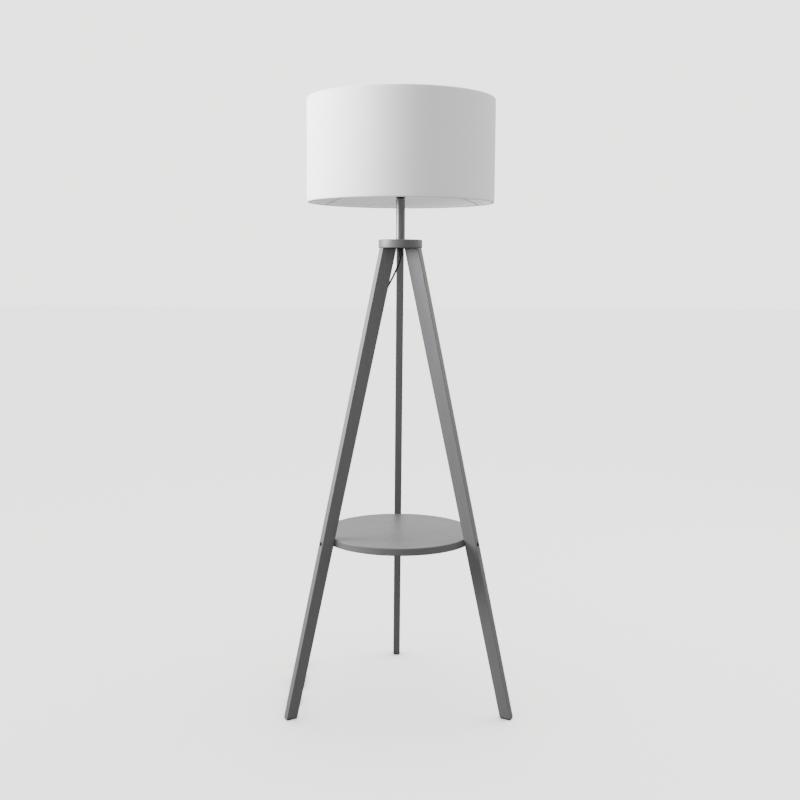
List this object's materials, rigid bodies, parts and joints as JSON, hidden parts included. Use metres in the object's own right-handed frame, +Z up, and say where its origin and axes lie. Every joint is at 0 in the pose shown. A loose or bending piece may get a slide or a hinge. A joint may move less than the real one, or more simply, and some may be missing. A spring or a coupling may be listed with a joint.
{
  "type": "tripod floor lamp",
  "caption": "Floor lamp on a tapered wooden tripod with a round middle shelf, a short stem and a white drum shade.",
  "frame": {"origin": "middle of the lamp's box on the floor, without the cord; the lamp's own vertical axis stands 44.25 mm in front of it, at y = -0.04425", "axes": "+Z up, +Y towards the back leg, +X to the right when the lamp is seen from the front, between the two front legs"},
  "size_m": [0.5506, 0.5383, 1.472],
  "materials": {
    "grey_paint": "satin grey paint",
    "grey_steel": "satin grey paint",
    "felt": "matt",
    "dark_screw": "blackened",
    "zinc": "zinc plated",
    "brass": "satin",
    "black_plastic": "satin",
    "porcelain": "glazed",
    "white_fabric": "fine weave, matt",
    "white_wire": "white powder coat",
    "opal_glass": "opal",
    "black_cord": "satin"
  },
  "bodies": {
    "stand": {"cord_clip_1": "black_plastic", "cord_clip_2": "black_plastic", "cord_clip_3": "black_plastic", "cord_down_leg": "black_cord", "cord_grip": "black_plastic", "cord_grip_screw": "black_plastic", "cord_hank": "black_cord", "cord_to_hank": "black_cord", "cord_to_plug": "black_cord", "foot_pad_back": "felt", "foot_pad_left": "felt", "foot_pad_right": "felt", "hank_tie": "black_plastic", "holder_cap": "black_plastic", "holder_contact": "brass", "holder_insert": "porcelain", "holder_screw_shell": "brass", "holder_skirt": "black_plastic", "hub": "grey_paint", "hub_nut": "zinc", "hub_screw_back": "zinc", "hub_screw_left": "zinc", "hub_screw_right": "zinc", "hub_washer": "zinc", "inner_lead": "black_cord", "leg_back": "grey_paint", "leg_insert_back": "brass", "leg_insert_left": "brass", "leg_insert_right": "brass", "leg_left": "grey_paint", "leg_right": "grey_paint", "plug_blade_1": "brass", "plug_blade_2": "brass", "plug_body": "black_plastic", "shelf": "grey_paint", "shelf_screw_back": "dark_screw", "shelf_screw_left": "dark_screw", "shelf_screw_right": "dark_screw", "stem": "grey_steel", "stem_washer": "grey_steel", "switch_base": "black_plastic", "switch_cover": "black_plastic", "switch_screw_1": "zinc", "switch_screw_2": "zinc", "threaded_rod": "zinc"},
    "shade": {"shade_drum": "white_fabric", "shade_top_wire": "white_wire", "shade_bottom_wire": "white_wire", "spider_ring": "white_wire", "spider_arm_1": "white_wire", "spider_arm_2": "white_wire", "spider_arm_3": "white_wire"},
    "upper_shade_ring": {"shade_ring_upper": "black_plastic"},
    "lower_shade_ring": {"shade_ring_lower": "black_plastic"},
    "bulb_seat": {"bulb_tip": "zinc"},
    "bulb": {"bulb_insulator": "black_plastic", "bulb_cap": "zinc", "bulb_glass": "opal_glass"},
    "rocker": {"switch_rocker": "black_plastic"}
  },
  "joints": [
    {"name": "shade_turn", "type": "hinge", "parent": "stand", "child": "shade", "pos_m": [0, -0.04425, 1.298], "axis": [0, 0, 1], "continuous": true},
    {"name": "upper_shade_ring_turn", "type": "hinge", "parent": "stand", "child": "upper_shade_ring", "pos_m": [0, -0.04425, 1.303], "axis": [0, 0, 1], "continuous": true},
    {"name": "lower_shade_ring_turn", "type": "hinge", "parent": "stand", "child": "lower_shade_ring", "pos_m": [0, -0.04425, 1.293], "axis": [0, 0, 1], "continuous": true},
    {"name": "bulb_climb", "type": "slide", "parent": "stand", "child": "bulb_seat", "axis": [0, 0, 1], "range_m": [0, 0.0108]},
    {"name": "bulb_turn", "type": "hinge", "parent": "bulb_seat", "child": "bulb", "pos_m": [0, -0.04425, 1.2835], "axis": [0, 0, 1], "range_deg": [0, 1085]},
    {"name": "rocker_tip", "type": "hinge", "parent": "stand", "child": "rocker", "pos_m": [-0.2577, -0.08625, 0.0153], "axis": [1, 0, 0], "range_deg": [0, 14]}
  ],
  "couplings": [
    {"joint": "bulb_turn", "follows": "bulb_climb", "rad_per_m": 1745.3}
  ]
}
